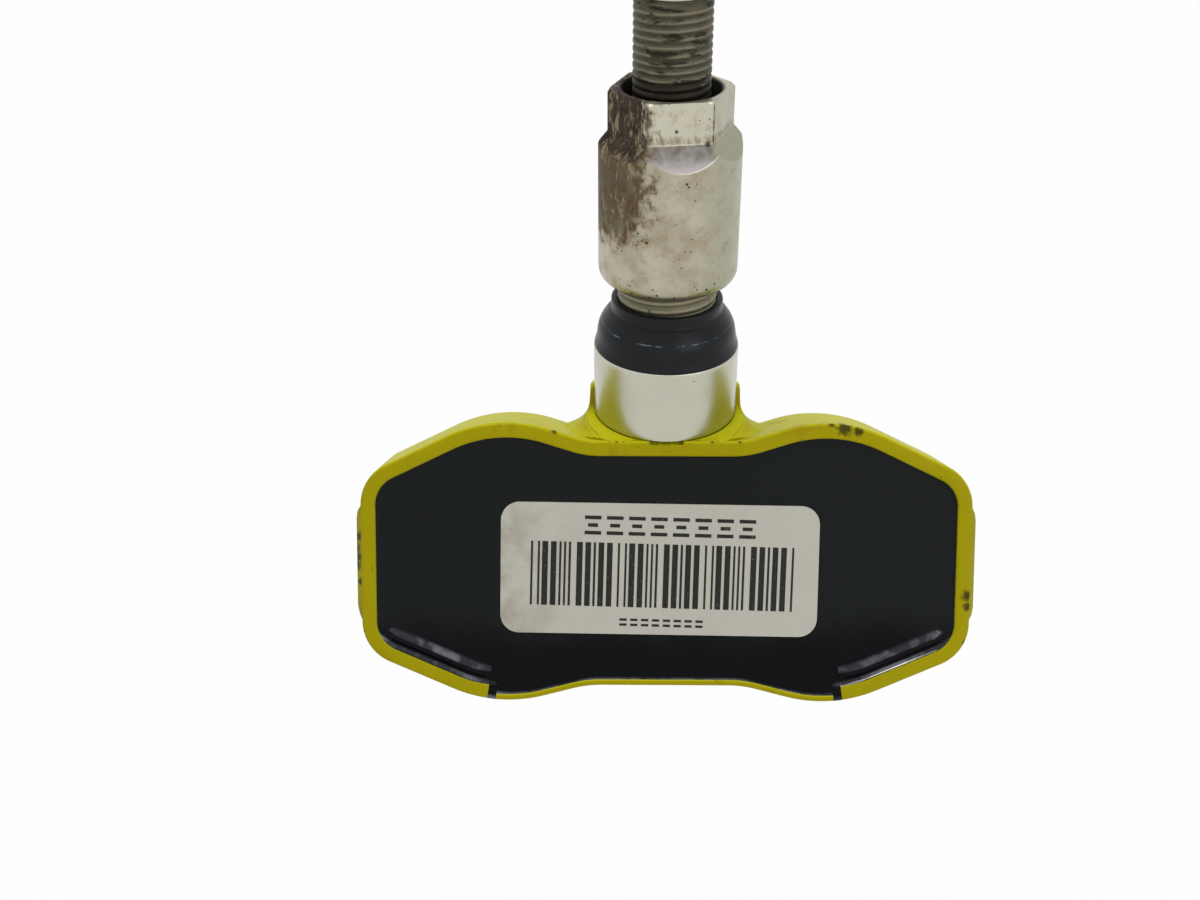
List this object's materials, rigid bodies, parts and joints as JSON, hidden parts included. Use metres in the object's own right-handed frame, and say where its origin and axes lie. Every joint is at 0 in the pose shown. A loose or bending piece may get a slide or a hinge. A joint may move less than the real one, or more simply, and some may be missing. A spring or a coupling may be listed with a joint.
{
  "type": "tyre pressure sensor",
  "caption": "Clamp-in tyre pressure sensor: potted moulded tray with a label, carried at an angle on a threaded valve stem with rubber grommet and long hexagon nut.",
  "frame": {"origin": "on the stem's axis at the foot of the grommet's neck, where the wheel's wall sits", "axes": "+Z along the valve stem, outwards from the wheel; -Y is the side that the potted face looks towards; X runs along the tray"},
  "size_m": [0.066, 0.0271, 0.0767],
  "materials": {
    "yellow_plastic": "moulded yellow polyester, satin, a little marked",
    "black_potting": "glossy black potting resin",
    "label_film": "off-white printed film, matt",
    "green_board": "green solder mask on glass laminate",
    "cell_steel": "stainless steel",
    "tab_nickel": "nickel strip",
    "chip_resin": "black moulded resin",
    "red_silicone": "soft red silicone",
    "coil_lacquer": "lacquered copper winding on ferrite",
    "tinned_copper": "copper strip",
    "ceramic": "fired ceramic",
    "plated_brass": "brass with bright nickel plate",
    "black_rubber": "moulded black rubber",
    "aged_nickel": "nickel-plated brass, dulled and stained brown",
    "bare_brass": "turned brass",
    "white_ptfe": "white sealing ring"
  },
  "bodies": {
    "sensor": {"housing": "yellow_plastic", "potting": "black_potting", "label": "label_film", "circuit_board": "green_board", "battery_cell": "cell_steel", "battery_tab_positive": "tab_nickel", "battery_tab_negative": "tab_nickel", "pressure_sensor_chip": "chip_resin", "port_seal": "red_silicone", "transmitter_chip": "chip_resin", "motion_switch": "cell_steel", "quartz_crystal": "cell_steel", "lf_coil": "coil_lacquer", "loop_antenna": "tinned_copper", "capacitors": "ceramic", "resistors": "chip_resin", "valve_stem": "plated_brass", "grommet": "black_rubber", "core_barrel": "bare_brass", "core_barrel_seal": "white_ptfe"},
    "nut": {"nut": "aged_nickel"},
    "core_pin": {"core_pin": "bare_brass", "core_cup_seal": "black_rubber", "core_spring": "cell_steel"}
  },
  "joints": [
    {"name": "nut_travel", "type": "slide", "parent": "sensor", "child": "nut", "axis": [0, 0, 1], "range_m": [-0.0018, 0.031]},
    {"name": "core_pin_press", "type": "slide", "parent": "sensor", "child": "core_pin", "axis": [0, 0, -1], "range_m": [0, 0.0012], "stiffness_N_per_m": 600, "springref_m": -0.0015, "deforming": ["core_spring"]}
  ]
}
